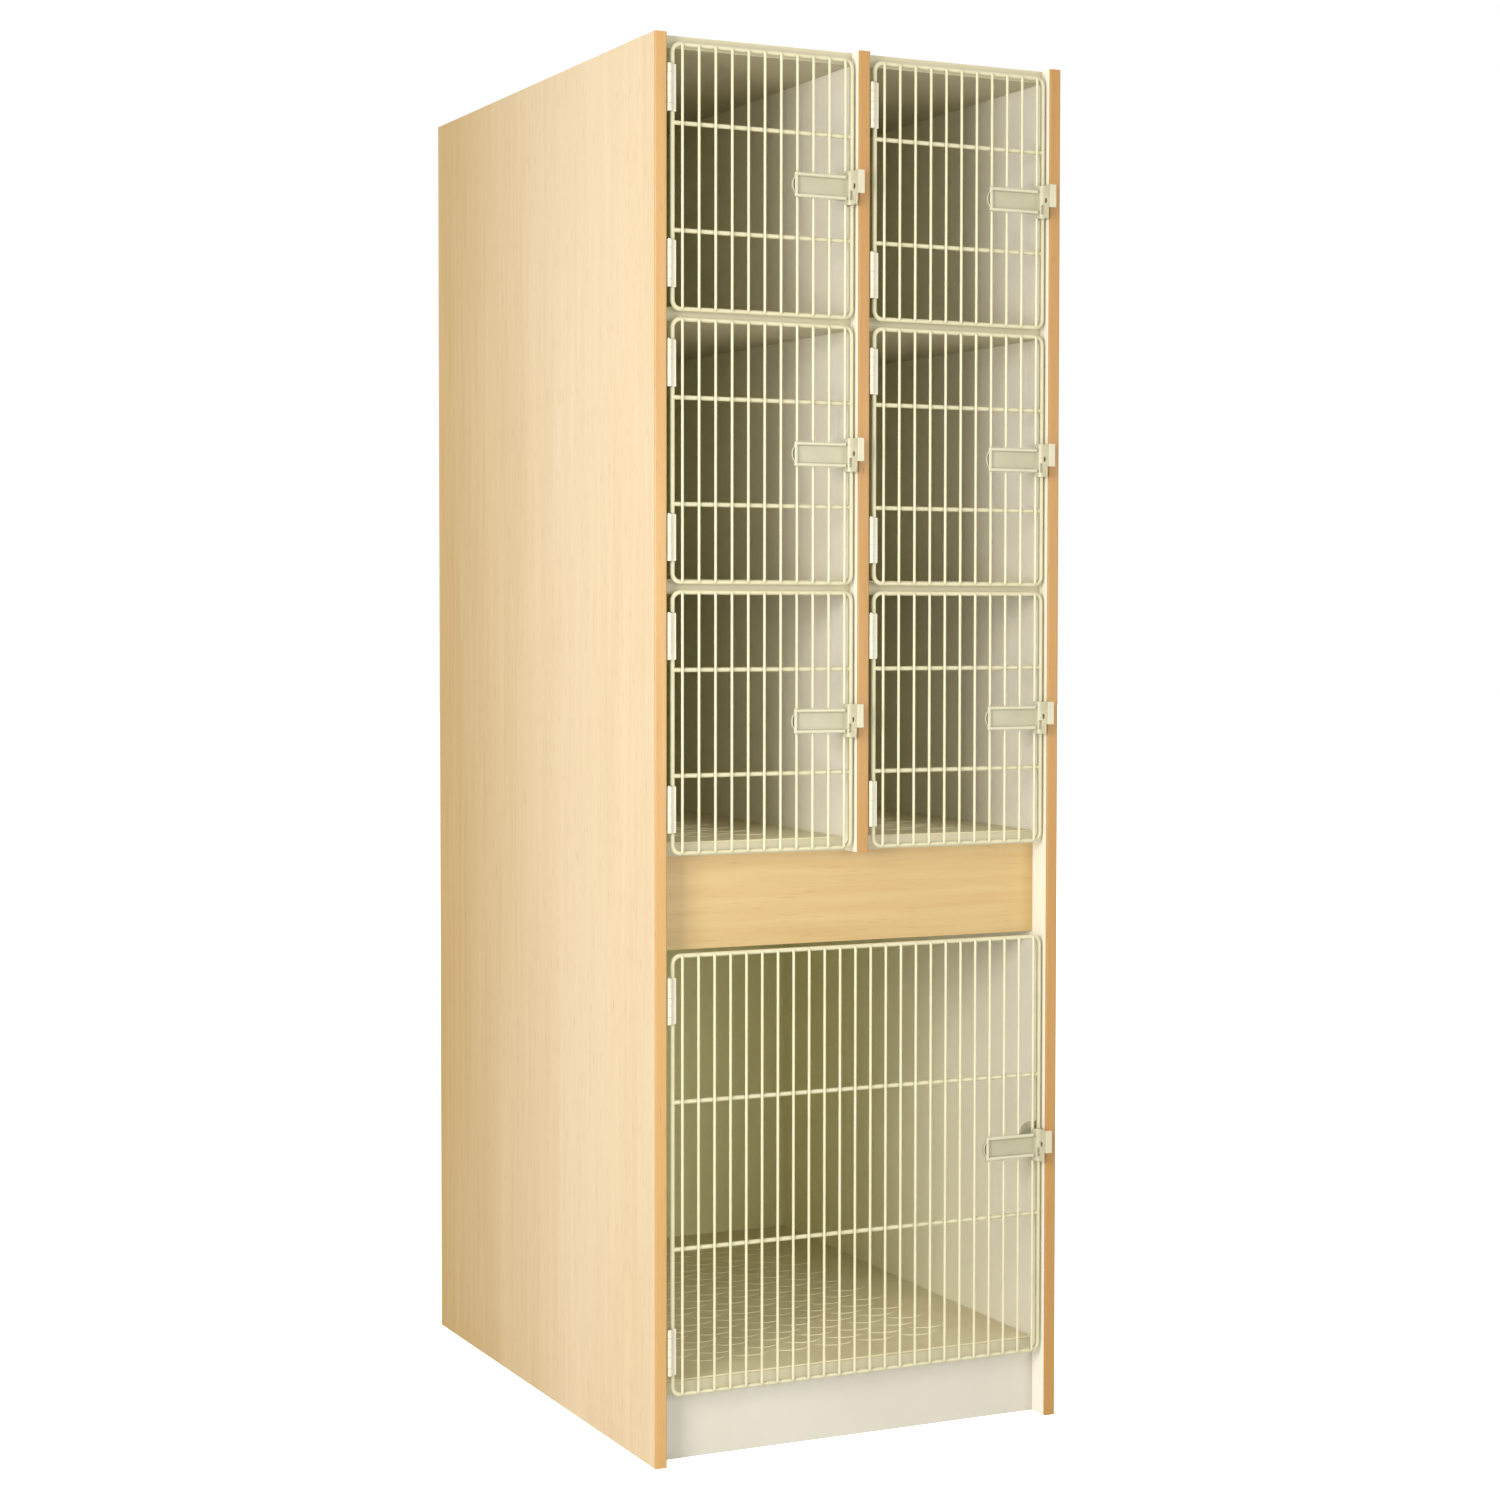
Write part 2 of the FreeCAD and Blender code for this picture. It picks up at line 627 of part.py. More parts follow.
def lever_master():
    """One bent sheet: tray, widened bend, forward tab with its flange, ears and rings."""
    half = "Dims.tab_height / 2"
    middle_face = "Dims.tab_face - Dims.sheet / 2"
    bend_x = -(size.tab_face - size.sheet / 2 + size.bend_radius)
    bend_y = -(size.web_back + size.sheet / 2 + size.bend_radius)
    outer_bend = cylinder("outer_bend", "Dims.bend_radius + Dims.sheet / 2", "Dims.tab_height")
    inner_bend = cylinder("inner_bend", "Dims.bend_radius - Dims.sheet / 2", "Dims.tab_height")
    for roll in (outer_bend, inner_bend):
        roll.Angle = 90.0
        place(roll, bend_x, bend_y, -size.tab_height / 2)
    bend = cut("bend", outer_bend, inner_bend)
    web_end = box("web_end", "Dims.handle_right - Dims.bend_radius - (" + middle_face
                  + ") + Dims.sheet / 4", "Dims.sheet", "Dims.tab_height",
                  "-Dims.handle_right - Dims.sheet / 4", "-Dims.web_back - Dims.sheet",
                  "-" + half)
    bend_line = "Dims.web_back + Dims.sheet / 2 + Dims.bend_radius"
    reach = "Dims.rod_depth + Dims.latch_projection"
    tab = box("tab", "Dims.sheet", reach + " - (" + bend_line + ")", "Dims.tab_height",
              "-Dims.tab_face", "-(" + reach + ")", "-" + half)
    flange = box("flange_blank", "Dims.flange_width", "Dims.sheet", "Dims.tab_height",
                 "-Dims.tab_face", "-(" + reach + ")", "-" + half)

    def outer_corner(edge):
        ends = edge.Vertexes
        upright = abs(ends[0].Z - ends[1].Z) > size.tab_height / 2
        front = edge.CenterOfMass.y < -size.rod_depth - size.latch_projection + 0.1
        return upright and front and edge.CenterOfMass.x < -size.tab_face + 0.1

    soft_flange = round_edges("flange", flange, size.flange_round, outer_corner)
    soft_tab = round_edges("tab_round", tab, size.flange_round, outer_corner)
    solids = [dish("dish"), finger_lip("finger_lip"), web_end, bend, soft_tab, soft_flange]
    for label, side in (("upper", 0), ("lower", 1)):
        low = size.ring_inner_end if side == 0 else -size.tab_height / 2
        ear = box(label + "_ear", "Dims.sheet", bend_line + " + Dims.ring_radius",
                  "Dims.tab_height / 2 - Dims.ring_inner_end", "-Dims.tab_face",
                  "-(" + bend_line + ")", "%f" % low)
        ring = cylinder(label + "_ring", "Dims.ring_radius", "Dims.ring_length")
        ring_low = size.ring_inner_end
        place(ring, z=ring_low if side == 0 else -ring_low - size.ring_length)
        solids += [ear, ring]
    blank = fuse("lever_blank", solids)

    bore = cylinder("lever_bore", "Dims.rod_radius + Dims.ring_clearance", "2 * Dims.tab_height")
    place(bore, z=-size.tab_height)
    lock_hole = cylinder("lock_hole", "Dims.lock_hole_radius", "4 * Dims.tab_face")
    place(lock_hole, -2 * size.tab_face, -size.lock_hole_forward, size.lock_hole_height,
          (0, 1, 0), 90)
    cutaway = box("ear_cutaway", "4 * Dims.tab_face", "Dims.latch_projection",
                  "Dims.ear_step + 1", "-2 * Dims.tab_face",
                  "-Dims.ear_cutaway - Dims.latch_projection",
                  "-" + half + " - 1")
    slot = box("ear_slot", "2 * Dims.tab_face", "Dims.slot_width", "Dims.slot_height",
               "-2 * Dims.tab_face - 1", "-Dims.slot_forward - Dims.slot_width",
               "-Dims.slot_bottom")
    return cut("latch_lever", blank, fuse("lever_cutters", [bore, lock_hole, cutaway, slot]))


def tongue_master(name, with_lobe):
    """The plate behind the bars, its nose toward the keeper; the large one has an upper lobe."""
    back = "Dims.ring_radius"
    low = "-Dims.tongue_height / 2"
    stem = box(name + "_stem", "Dims.stem_left + Dims.tongue_right", "Dims.sheet",
               "Dims.tab_height", "-Dims.stem_left", back, "-Dims.tab_height / 2")
    middle = box(name + "_middle", "Dims.tongue_left - Dims.tongue_round", "Dims.sheet",
                 "Dims.tongue_height", "-Dims.tongue_left + Dims.tongue_round", back, low)
    side = box(name + "_side", "Dims.tongue_round + 1", "Dims.sheet",
               "Dims.tongue_height - 2 * Dims.tongue_round", "-Dims.tongue_left", back,
               low + " + Dims.tongue_round")
    nose = box(name + "_nose", "Dims.tongue_nose - Dims.tongue_right + 1", "Dims.sheet",
               "Dims.nose_height", "Dims.tongue_right - 1", back, "-Dims.nose_height / 2")
    shapes = [stem, middle, side, nose]

    def disc(label, radius_name, x, z):
        made = cylinder("%s_%s" % (name, label), "Dims." + radius_name, "Dims.sheet")
        return place(made, x, size.ring_radius + size.sheet, z, (1, 0, 0), 90)

    corner_x = size.tongue_round - size.tongue_left
    corner_z = size.tongue_height / 2 - size.tongue_round
    shapes.append(disc("lower_corner", "tongue_round", corner_x, -corner_z))
    if with_lobe:
        full_lobe = disc("full_lobe", "lobe_radius", size.lobe_radius - size.tongue_left,
                         size.lobe_top - size.lobe_radius)
        trim = box(name + "_lobe_trim", "2 * Dims.lobe_radius", "3 * Dims.sheet",
                   "3 * Dims.lobe_radius", "Dims.tongue_right", back + " - Dims.sheet",
                   "Dims.lobe_top - 2 * Dims.lobe_radius - 1")
        shapes.append(cut(name + "_lobe", full_lobe, trim))
        shapes.append(box(name + "_lobe_edge",
                          "Dims.tongue_left - Dims.lobe_radius + Dims.tongue_right",
                          "Dims.sheet", "Dims.lobe_top", "-Dims.tongue_left + Dims.lobe_radius",
                          back, "0"))
    else:
        shapes.append(disc("upper_corner", "tongue_round", corner_x, corner_z))
    return fuse(name, shapes)


def keeper_master():
    """A thin plate on the upright's face with a raised front lip; the face is at x = 0."""
    base = box("keeper_base_plate", "Dims.keeper_base", "Dims.keeper_depth",
               "Dims.keeper_height", "-Dims.keeper_base", "0", "-Dims.keeper_height / 2")
    lip = box("keeper_front_lip", "Dims.keeper_lip", "Dims.keeper_lip_depth",
              "Dims.keeper_height", "-Dims.keeper_lip", "0", "-Dims.keeper_height / 2")
    return fuse("keeper", [base, lip])


lever = lever_master()
small_tongue = tongue_master("small_tongue", False)
large_tongue = tongue_master("large_tongue", True)
keeper = keeper_master()
keepers = []
for door in doors:
    rod_x = door["bay_right"] - size.right_rod_inset
    label = door["name"] + "_latch_lever"
    keep(copy_of(lever, label, rod_x, ROD_Y, door["middle"]), label)
    label = door["name"] + "_latch_tongue"
    tongue = large_tongue if door["large"] else small_tongue
    keep(copy_of(tongue, label, rod_x, ROD_Y, door["middle"]), label)
    keepers.append(copy_of(keeper, door["name"] + "_keeper", door["bay_right"],
                           FRONT_Y + size.keeper_front, door["middle"]))
keep(group("latch_keepers", keepers), "latch_keepers")

# ---------------------------------------------------------------- checks and files

doc.recompute()
os.makedirs("parts", exist_ok=True)
for thing in doc.Objects:
    bad = [state for state in thing.State if state in ("Invalid", "Error")]
    if bad:
        raise RuntimeError("%s: %s" % (thing.Name, bad))
for thing in parts:
    if thing.Shape.isNull() or not thing.Shape.isValid():
        raise RuntimeError(thing.Label + ": the shape is not valid")
    if not thing.Shape.Solids:
        raise RuntimeError(thing.Label + ": no solid")
    thing.Shape.exportStep(os.path.join("parts", thing.Label + ".step"))
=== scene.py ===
import json
import math

import bmesh
import bpy
from mathutils import Matrix, Vector


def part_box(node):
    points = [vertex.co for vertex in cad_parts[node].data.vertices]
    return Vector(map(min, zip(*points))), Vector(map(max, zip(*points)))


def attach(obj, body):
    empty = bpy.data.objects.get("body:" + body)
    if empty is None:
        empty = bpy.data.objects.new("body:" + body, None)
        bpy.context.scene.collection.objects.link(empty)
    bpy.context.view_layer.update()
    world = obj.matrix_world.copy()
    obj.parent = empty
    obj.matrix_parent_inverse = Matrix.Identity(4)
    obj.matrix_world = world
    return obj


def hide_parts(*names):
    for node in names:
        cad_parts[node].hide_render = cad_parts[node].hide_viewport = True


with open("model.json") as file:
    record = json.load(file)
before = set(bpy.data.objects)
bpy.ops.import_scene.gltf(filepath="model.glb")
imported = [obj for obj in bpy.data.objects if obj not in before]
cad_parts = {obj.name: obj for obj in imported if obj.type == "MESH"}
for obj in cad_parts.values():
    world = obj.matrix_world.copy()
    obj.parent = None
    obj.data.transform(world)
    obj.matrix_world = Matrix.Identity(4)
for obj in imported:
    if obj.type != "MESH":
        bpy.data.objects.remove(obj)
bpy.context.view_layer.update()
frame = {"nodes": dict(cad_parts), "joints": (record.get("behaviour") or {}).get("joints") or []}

NODES = frame["nodes"]
DOORS = [joint["child"][:-len("_door")] for joint in frame["joints"]
         if joint["child"].endswith("_door")]

# ------------------------------------------------------------------ shader helpers


def paint(code):
    """An sRGB colour code as the linear colour that sockets take."""
    channels = []
    for start in (0, 2, 4):
        value = int(code[start:start + 2], 16) / 255
        channels.append(value / 12.92 if value <= 0.04045 else ((value + 0.055) / 1.055) ** 2.4)
    return (*channels, 1.0)


class Shader:
    """A material's node tree, with short calls for the nodes used here."""

    def __init__(self, name, roughness=0.5, **sockets):
        self.material = bpy.data.materials.new(name)
        self.material.use_nodes = True
        self.tree = self.material.node_tree
        self.surface = self.tree.nodes["Principled BSDF"]
        self.surface.inputs["Roughness"].default_value = roughness
        for socket, value in sockets.items():
            self.surface.inputs[socket.replace("_", " ")].default_value = value

    def node(self, kind, inputs=None, **settings):
        made = self.tree.nodes.new("ShaderNode" + kind)
        for key, value in settings.items():
            setattr(made, key, value)
        for key, value in (inputs or {}).items():
            self.feed(made.inputs[key], value)
        return made

    def feed(self, socket, value):
        if isinstance(value, bpy.types.NodeSocket):
            self.tree.links.new(value, socket)
        else:
            socket.default_value = value

    def place(self, scale=(1, 1, 1)):
        coords = self.node("TexCoord").outputs["Object"]
        return self.node("Mapping", {"Vector": coords, "Scale": scale}).outputs[0]

    def position(self, axis):
        """The point's coordinate along one axis: 0, 1 or 2 for x, y or z."""
        return self.node("SeparateXYZ", {0: self.place()}).outputs[axis]

    def noise(self, where, scale, detail=3.0, rough=0.5, distortion=0.0):
        return self.node("TexNoise", {"Vector": where, "Scale": scale, "Detail": detail,
                                      "Roughness": rough, "Distortion": distortion}).outputs["Fac"]

    def span(self, value, low, high, to_low=0.0, to_high=1.0):
        return self.node("MapRange", {"Value": value, "From Min": low, "From Max": high,
                                      "To Min": to_low, "To Max": to_high}).outputs[0]

    def math(self, operation, first, second=0.0):
        return self.node("Math", {0: first, 1: second}, operation=operation).outputs[0]

    def spread(self, value):
        """Noise rarely leaves 0.3 to 0.7; this spreads it over 0 to 1."""
        return self.span(value, 0.3, 0.7)

    def mix(self, share, first, second):
        made = self.node("Mix", data_type="RGBA")
        self.feed(made.inputs["Factor"], share)
        self.feed(made.inputs[6], first)
        self.feed(made.inputs[7], second)
        return made.outputs[2]

    def bump(self, height, distance, strength=1.0):
        made = self.node("Bump", {"Height": height, "Distance": distance, "Strength": strength})
        self.feed(self.surface.inputs["Normal"], made.outputs[0])

    def colour(self, value):
        self.feed(self.surface.inputs["Base Color"], value)

    def roughness(self, value):
        self.feed(self.surface.inputs["Roughness"], value)


def edge_wear(shader, radius, samples=4):
    """Near 1 on convex edges, from the gap between the bevelled and the plain normal."""
    bevel = shader.node("Bevel", {"Radius": radius}, samples=samples).outputs[0]
    plain = shader.node("NewGeometry").outputs["Normal"]
    dot = shader.node("VectorMath", {0: bevel, 1: plain}, operation="DOT_PRODUCT")
    return shader.span(dot.outputs["Value"], 0.995, 0.80)

# ------------------------------------------------------------------ materials


def pale_laminate(shader):
    """Pale laminate, a little yellower toward the rear of the cabinet: painted shade, standing in
    for the olive cast of the shade deep inside.
    """
    cloud = shader.spread(shader.noise(shader.place(), 5.0, 4.0, 0.55))
    rear = shader.span(shader.position(1), REAR_SHADE_FROM, REAR_SHADE_TO)
    front = shader.mix(cloud, paint(PALE_BASE), paint(PALE_TINT))
    return shader.mix(rear, front, shader.mix(cloud, paint(REAR_SHADE_BASE), paint(REAR_SHADE_TINT)))


def maple(name, grain, light, dark, fleck, figure, roughness=0.42, pale_side=None,
          painted_front_light=None, fleck_share=0.5):
    """Printed maple laminate: a soft figure, long streaks and short dark flecks along the grain.

    pale_side is (sign, x): on that side of the plane the board is faced in pale laminate.
    painted_front_light is the lighter colour that the print fades to at the front of a side panel:
    painted light, standing in for the key light falling off toward the back of the panel.
    """
    shader = Shader(name, Coat_Weight=0.12, Coat_Roughness=0.25)
    along = "xyz".index(grain)

    def stretched(ratio):
        scale = [1.0, 1.0, 1.0]
        scale[along] = ratio
        return shader.place(tuple(scale))

    broad = shader.noise(stretched(0.16), 7.0, 3.0, 0.5, 0.4)
    streak = shader.noise(stretched(0.035), 95.0, 4.0, 0.6, 0.3)
    fibre = shader.noise(stretched(0.02), 750.0, 2.0, 0.6)
    fleck_mask = shader.span(shader.noise(stretched(0.055), 420.0, 2.0, 0.5), 0.62, 0.75)
    wave = shader.node("TexWave", {"Vector": stretched(0.11), "Scale": 6.5, "Distortion": 14.0,
                                   "Detail": 3.0, "Detail Scale": 1.4},
                       bands_direction="Z" if grain == "x" else "Y").outputs["Fac"]
    blend = shader.math("MULTIPLY", shader.spread(broad), 0.42)
    blend = shader.math("ADD", blend, shader.math("MULTIPLY", shader.spread(streak), 0.3))
    blend = shader.math("ADD", blend, shader.math("MULTIPLY", shader.spread(fibre), 0.12))
    blend = shader.math("ADD", blend, shader.math("MULTIPLY", wave, figure))
    colour = shader.mix(blend, paint(light), paint(dark))
    # Painted light: the print turns lighter toward the front of the side panel, where the key
    # light falls strongest.
    if painted_front_light:
        painted_light_toward_front = shader.span(shader.position(1), *PAINTED_LIGHT_DEPTHS)
        colour = shader.mix(painted_light_toward_front, colour,
                            shader.mix(blend, paint(painted_front_light[0]), paint(painted_front_light[1])))
    colour = shader.mix(shader.math("MULTIPLY", fleck_mask, fleck_share), colour, paint(fleck))
    if pale_side:
        sign, plane = pale_side
        signed = shader.math("MULTIPLY", shader.position(0), sign)
        beyond = shader.math("GREATER_THAN", signed, sign * plane)
        colour = shader.mix(beyond, colour, pale_laminate(shader))
    shader.colour(colour)
    shader.roughness(shader.span(streak, 0.3, 0.7, roughness - 0.05, roughness + 0.07))
    shader.bump(shader.math("ADD", fibre, shader.math("MULTIPLY", fleck_mask, -0.6)), 0.00012, 0.5)
    return shader.material


def melamine(name, base=None, tint=None, roughness=0.45, outer=None):
    """Pebbled laminate, a little cloudy and scuffed: base and tint, or else the pale laminate.

    outer is (axis, plane): beyond that plane the board shows its plain outer face.
    """
    shader = Shader(name, Coat_Weight=0.08, Coat_Roughness=0.3)
    where = shader.place()
    cloud = shader.noise(where, 5.0, 4.0, 0.55)
    speck = shader.noise(where, 900.0, 2.0)
    scuff = shader.span(shader.noise(shader.place((1, 1, 0.15)), 60.0, 5.0, 0.7, 1.5), 0.60, 0.78)
    if base:
        colour = shader.mix(shader.spread(cloud), paint(base), paint(tint))
    else:
        colour = pale_laminate(shader)
    if outer:
        axis, plane = outer
        plain = shader.mix(shader.spread(cloud), paint("E4E0D2"), paint("DDD8C8"))
        beyond = shader.math("GREATER_THAN", shader.position(axis), plane)
        colour = shader.mix(beyond, colour, plain)
    shader.colour(shader.mix(shader.math("MULTIPLY", scuff, 0.06), colour, paint("8C8672")))
    shader.roughness(shader.span(cloud, 0.3, 0.7, roughness - 0.04, roughness + 0.08))
    shader.bump(shader.math("ADD", speck, shader.math("MULTIPLY", scuff, 0.3)), 0.0001, 0.45)
    return shader.material


def coated(name, base, shade, roughness=0.38, crevice_shade=0.0, behind=None):
    """Baked enamel on steel: slight orange peel, thinner and darker on sharp edges.

    crevice is how far painted shade darkens the inner corners and gaps.  behind is two depths y
    and two colours:
    the colour turns darker from the first depth to the second, as painted shade on the parts
    further back.
    """
    shader = Shader(name, Coat_Weight=0.25, Coat_Roughness=0.18)
    where = shader.place()
    cloud = shader.spread(shader.noise(where, 24.0, 3.0))
    peel = shader.noise(where, 260.0, 2.0, 0.4)
    grit = shader.noise(where, 1900.0, 1.0)
    colour = shader.mix(cloud, paint(base), paint(shade))
    # Painted shade: the frame rods behind the wires and the latch web behind its rims take darker
    # colours by depth.
    if behind:
        start, end, painted_shade_base, painted_shade_tone = behind
        colour = shader.mix(shader.span(shader.position(1), start, end), colour,
                            shader.mix(cloud, paint(painted_shade_base), paint(painted_shade_tone)))
    colour = shader.mix(shader.math("MULTIPLY", edge_wear(shader, 0.0004), 0.22), colour,
                        paint("8F8768"))
    # Painted shade: ambient occlusion darkens the inner corners, knuckle gaps, slots and the areas
    # under rims.
    if crevice_shade:
        open_sky = shader.node("AmbientOcclusion", {"Distance": 0.0035}, samples=6).outputs["AO"]
        dust_and_painted_shade = shader.span(open_sky, 0.2, 0.7, crevice_shade, 0.0)
        colour = shader.mix(dust_and_painted_shade, colour, paint("5E5538"))
    shader.colour(colour)
    shader.roughness(shader.span(peel, 0.3, 0.7, roughness - 0.06, roughness + 0.08))
    shader.bump(shader.math("ADD", peel, shader.math("MULTIPLY", grit, 0.15)), 0.00025, 0.35)
    return shader.material


def steel(name, base, shade):
    """Plated steel with fine turning lines."""
    shader = Shader(name, Metallic=0.9)
    lines = shader.noise(shader.place((1, 1, 14)), 420.0, 3.0, 0.6)
    cloud = shader.noise(shader.place(), 90.0, 3.0)
    shader.colour(shader.mix(shader.spread(cloud), paint(base), paint(shade)))
    shader.roughness(shader.span(lines, 0.3, 0.7, 0.24, 0.42))
    shader.bump(lines, 0.00008, 0.4)
    return shader.material


def mat_vinyl(name, base, shade, stipple_depth):
    """Moulded vinyl: fine stipple, a little dust, rubbed lighter on its edges."""
    shader = Shader(name)
    where = shader.place()
    cloud = shader.noise(where, 8.0, 4.0, 0.6)
    stipple = shader.noise(where, 1300.0, 2.0)
    dust_and_painted_shade = shader.noise(where, 55.0, 4.0, 0.65)
    colour = shader.mix(shader.spread(cloud), paint(base), paint(shade))
    colour = shader.mix(shader.span(dust_and_painted_shade, 0.5, 0.8, 0.0, 0.14), colour, paint("EDE6C6"))
    colour = shader.mix(shader.math("MULTIPLY", edge_wear(shader, 0.0008), 0.35), colour,
                        paint("F4EED4"))
    shader.colour(colour)
    shader.roughness(shader.span(dust_and_painted_shade, 0.3, 0.7, 0.40, 0.58))
    shader.bump(stipple, stipple_depth, 0.4)
    return shader.material


def cover(node, material):
    """Give a node one material in place of any it has."""
    data = NODES[node].data
    if data.materials:
        for index in range(len(data.materials)):
            data.materials[index] = material
    else:
        data.materials.append(material)


PALE_BASE = "F5F1E6"
PALE_TINT = "F0EBDD"
# The yellower rear tones are blended in from front to back between the two depths below: painted
# shade for the olive cast deep inside the cabinet.
REAR_SHADE_BASE = "F4F0C8"
REAR_SHADE_TINT = "EDE9BE"
REAR_SHADE_FROM = -0.42
REAR_SHADE_TO = 0.35
# The depths over which the side print turns lighter toward the front: painted light.
PAINTED_LIGHT_DEPTHS = (0.50, -0.10)
SKIN = 0.0006
ROD_RADIUS = 0.0035
ROD_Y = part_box("bottom_door_grille")[1].y - ROD_RADIUS
SHELF_COLOURS = ("C6BFA3", "BEB79A")
# The side print runs from these darker tones at the rear to the lighter front tones below: painted
# light and shade for the key light falling off toward the back.
MAPLE_SIDE = ("C5A769", "B5914F", "9C7038", 0.10)
SIDE_FRONT_PAINTED_LIGHT = ("DBC9A8", "D0B68C")

MAPLE_LEFT = maple("maple_left_side", "z", *MAPLE_SIDE, painted_front_light=SIDE_FRONT_PAINTED_LIGHT,
                   pale_side=(1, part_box("left_side_panel")[1].x - SKIN))
MAPLE_RIGHT = maple("maple_right_side", "z", *MAPLE_SIDE, painted_front_light=SIDE_FRONT_PAINTED_LIGHT,
                    pale_side=(-1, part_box("right_side_panel")[0].x + SKIN))
MAPLE_FILLER = maple("maple_filler", "x", "C5AC77", "B6955F", "9A7040", 0.20, fleck_share=0.28)
MAPLE_EDGE = maple("maple_edge", "z", "C39D64", "B78C50", "946A36", 0.12, 0.40)
# The right and divider edge bands take a darker copy of the same edge-band print: painted shade,
# as they sit further from the key light.
MAPLE_EDGE_SHADED = maple("maple_edge_painted_shade", "z", "B58B4F", "AA7C3F", "865A2A", 0.12, 0.40)
PALE = melamine("pale_laminate")
BACK = melamine("back_laminate", "F3EFC1", "ECE8B6", 0.5,
                outer=(1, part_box("back_panel")[1].y - SKIN))
TOE = melamine("toe_laminate", "CAC7BC", "C4C0B4")
SHELF = melamine("shelf_laminate", *SHELF_COLOURS)
TOP = melamine("top_laminate", *SHELF_COLOURS, outer=(2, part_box("top_panel")[1].z - SKIN))
# Wire and latch colours turn darker on the parts set further back: painted shade.
WIRE = coated("wire_coating", "D6D3B4", "CECBAA",
              behind=(ROD_Y - 0.0045, ROD_Y - 0.0034, "CDC8A8", "C5C09F"))
# Hinge and latch enamel is darkened in its hollows: painted shade.
HINGE = coated("hinge_coating", "D9D5C2", "D2CDB6", 0.33, crevice_shade=0.8)
LATCH = coated("latch_coating", "C6C2A8", "BEBA9F", 0.36, crevice_shade=0.8,
               behind=(ROD_Y - 0.0125, ROD_Y - 0.0098, "ADA98F", "A5A186"))
STEEL = steel("plated_steel", "C9C5BA", "8E8A80")
MAT = mat_vinyl("mat_vinyl", "E4DBB8", "DACFA9", 0.00018)
# The ridges take a lighter copy of the vinyl colour: painted highlight standing in for the glints
# on the ridge crests.
MAT_RIDGE_HIGHLIGHT = mat_vinyl("mat_ridge_painted_highlight", "F2EBD0", "EBE3C4", 0.00008)
DOWEL = maple("dowel_wood", "x", "D9B98A", "C9A672", "9A7445", 0.2, 0.6)

cover("left_side_panel", MAPLE_LEFT)
cover("right_side_panel", MAPLE_RIGHT)
cover("filler_panel", MAPLE_FILLER)
cover("left_edge_band", MAPLE_EDGE)
for name in ("right_edge_band", "divider_edge_band"):
    cover(name, MAPLE_EDGE_SHADED)
cover("center_divider", PALE)
for name in ("bottom_deck", "middle_deck", "upper_shelf_left", "upper_shelf_right",
             "middle_shelf_left", "middle_shelf_right"):
    cover(name, SHELF)
cover("top_panel", TOP)
cover("toe_kick", TOE)
cover("back_panel", BACK)
cover("panel_dowels", DOWEL)
cover("hinge_pins", STEEL)
cover("hinge_screws", STEEL)
cover("hinge_frame_leaves", HINGE)
cover("latch_keepers", LATCH)
for door in DOORS:
    cover(door + "_door_grille", WIRE)
    cover(door + "_door_hinge_leaves", HINGE)
    cover(door + "_latch_lever", LATCH)
    cover(door + "_latch_tongue", LATCH)

# ------------------------------------------------------------------ camera, light, floor

YAW = 0.47858782
PITCH = -0.0373083
ROLL = 0.00322146
CAMERA_AT = (-2.0188, -4.6258, 1.2889)
SENSOR_MM = 36.0
LENS_MM = 72.01
SHIFT = (-0.1236, -0.0205)
FILL = 0.84
FLOOR_HALF = 30.0
FLOOR_DROP = 0.0006


def add_camera():
    """The camera looks along the yaw and pitch, with a small roll and a shifted lens."""
    forward = Vector((math.sin(YAW) * math.cos(PITCH), math.cos(YAW) * math.cos(PITCH),
                      math.sin(PITCH)))
    level = Vector((math.cos(YAW), -math.sin(YAW), 0.0))
    upright = level.cross(forward)
    right = level * math.cos(ROLL) + upright * math.sin(ROLL)
    up = upright * math.cos(ROLL) - level * math.sin(ROLL)
    lens = bpy.data.cameras.new("camera")
    lens.sensor_width = SENSOR_MM
    lens.lens = LENS_MM
    lens.shift_x, lens.shift_y = SHIFT
    lens.clip_end = 200.0
    camera = bpy.data.objects.new("camera", lens)
    bpy.context.scene.collection.objects.link(camera)
    turn = Matrix((right, up, -forward)).transposed().to_4x4()
    camera.matrix_world = Matrix.Translation(CAMERA_AT) @ turn
    bpy.context.scene.camera = camera


def add_area(name, at, aim, size, power, colour):
    """A rectangular soft light at one point, turned toward another."""
    data = bpy.data.lights.new(name, "AREA")
    data.shape = "RECTANGLE"
    data.size, data.size_y = size
    data.energy = power
    data.color = colour
    lamp = bpy.data.objects.new(name, data)
    bpy.context.scene.collection.objects.link(lamp)
    lamp.location = at
    lamp.rotation_euler = (Vector(aim) - Vector(at)).to_track_quat("-Z", "Y").to_euler()


def add_world():
    """A soft fill from all round, behind a plain white backdrop."""
    world = bpy.data.worlds.new("studio")
    bpy.context.scene.world = world
    world.use_nodes = True
    tree = world.node_tree
    tree.nodes.clear()
    seen = tree.nodes.new("ShaderNodeBackground")
    seen.inputs["Color"].default_value = (1.0, 1.0, 1.0, 1.0)
    seen.inputs["Strength"].default_value = 1.0
    fill = tree.nodes.new("ShaderNodeBackground")
    fill.inputs["Color"].default_value = (1.0, 0.98, 0.94, 1.0)
    fill.inputs["Strength"].default_value = FILL
    path = tree.nodes.new("ShaderNodeLightPath")
    mix = tree.nodes.new("ShaderNodeMixShader")
    out = tree.nodes.new("ShaderNodeOutputWorld")
    tree.links.new(path.outputs["Is Camera Ray"], mix.inputs[0])
    tree.links.new(fill.outputs[0], mix.inputs[1])
    tree.links.new(seen.outputs[0], mix.inputs[2])
    tree.links.new(mix.outputs[0], out.inputs[0])


